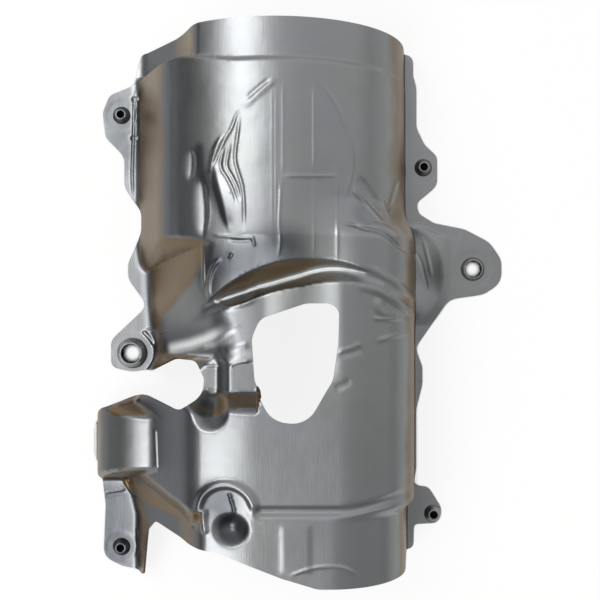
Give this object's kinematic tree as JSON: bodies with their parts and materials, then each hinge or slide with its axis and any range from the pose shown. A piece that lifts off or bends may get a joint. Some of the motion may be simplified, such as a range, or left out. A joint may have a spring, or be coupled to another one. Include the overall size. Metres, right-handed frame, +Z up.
{
  "type": "exhaust heat shield",
  "caption": "Drawn steel exhaust heat shield: a half-round shell with a waist, an oval window, a side notch, and ears and a lug with necked fixing holes.",
  "frame": {"origin": "middle of the bounding box on the ground that the shield's ears lie on", "axes": "+X to the large right ear, +Y along the exhaust to the wide end, +Z up from the ears to the drawn crown"},
  "size_m": [0.2126, 0.2688, 0.071],
  "materials": {
    "steel": "bright rolled aluminised steel"
  },
  "bodies": {
    "root": {"heat_shield": "steel"}
  },
  "joints": []
}
